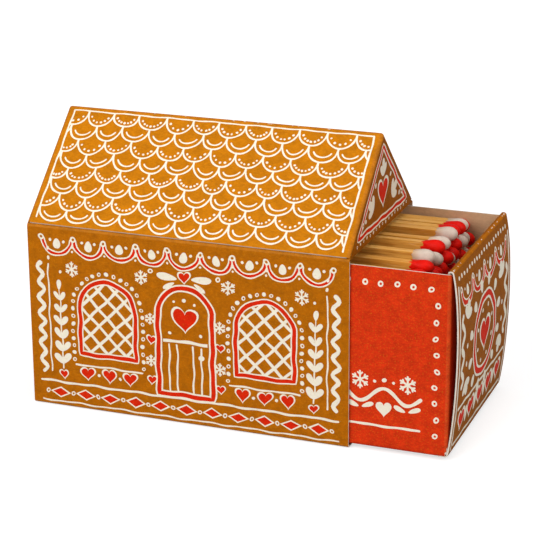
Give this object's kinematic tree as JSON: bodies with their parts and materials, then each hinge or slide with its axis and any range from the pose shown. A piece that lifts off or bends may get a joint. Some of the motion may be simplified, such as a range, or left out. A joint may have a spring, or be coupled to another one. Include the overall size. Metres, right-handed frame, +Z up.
{
  "type": "house-shaped matchbox",
  "caption": "Long-match box of folded card shaped as a gabled house, with a slide-out tray full of red-headed and pale-headed safety matches",
  "frame": {"origin": "on the floor, under the middle of the box as it stands with its tray pulled out", "axes": "+X the way the tray is pulled out, +Y from the wall facing the viewer to the far wall, +Z up"},
  "size_m": [0.1444, 0.067, 0.0938],
  "materials": {
    "sleeve_card": "printed brown kraft card, matte",
    "roof_card": "printed amber kraft card, matte",
    "tray_card": "printed red kraft card, matte, bare kraft inside",
    "splint_wood": "sawn aspen, waxed",
    "head_red": "dipped match composition, smooth, satin",
    "head_pale": "dipped match composition, smooth, dull"
  },
  "bodies": {
    "sleeve": {"sleeve": "sleeve_card", "roof": "roof_card"},
    "tray": {"tray": "tray_card", "match_1_01_splint": "splint_wood", "match_1_01_head": "head_red", "match_1_02_splint": "splint_wood", "match_1_02_head": "head_pale", "match_1_03_splint": "splint_wood", "match_1_03_head": "head_red", "match_1_04_splint": "splint_wood", "match_1_04_head": "head_red", "match_1_05_splint": "splint_wood", "match_1_05_head": "head_pale", "match_1_06_splint": "splint_wood", "match_1_06_head": "head_pale", "match_1_07_splint": "splint_wood", "match_1_07_head": "head_red", "match_1_08_splint": "splint_wood", "match_1_08_head": "head_pale", "match_1_09_splint": "splint_wood", "match_1_09_head": "head_red", "match_1_10_splint": "splint_wood", "match_1_10_head": "head_pale", "match_1_11_splint": "splint_wood", "match_1_11_head": "head_red", "match_1_12_splint": "splint_wood", "match_1_12_head": "head_red", "match_1_13_splint": "splint_wood", "match_1_13_head": "head_pale", "match_1_14_splint": "splint_wood", "match_1_14_head": "head_red", "match_2_01_splint": "splint_wood", "match_2_01_head": "head_pale", "match_2_02_splint": "splint_wood", "match_2_02_head": "head_red", "match_2_03_splint": "splint_wood", "match_2_03_head": "head_red", "match_2_04_splint": "splint_wood", "match_2_04_head": "head_red", "match_2_05_splint": "splint_wood", "match_2_05_head": "head_red", "match_2_06_splint": "splint_wood", "match_2_06_head": "head_red", "match_2_07_splint": "splint_wood", "match_2_07_head": "head_red", "match_2_08_splint": "splint_wood", "match_2_08_head": "head_pale", "match_2_09_splint": "splint_wood", "match_2_09_head": "head_red", "match_2_10_splint": "splint_wood", "match_2_10_head": "head_red", "match_2_11_splint": "splint_wood", "match_2_11_head": "head_pale", "match_2_12_splint": "splint_wood", "match_2_12_head": "head_pale", "match_2_13_splint": "splint_wood", "match_2_13_head": "head_red", "match_bundle": "splint_wood"}
  },
  "joints": [
    {"name": "tray_slide", "type": "slide", "parent": "sleeve", "child": "tray", "axis": [1, 0, 0], "range_m": [-0.122, 0.06]}
  ]
}
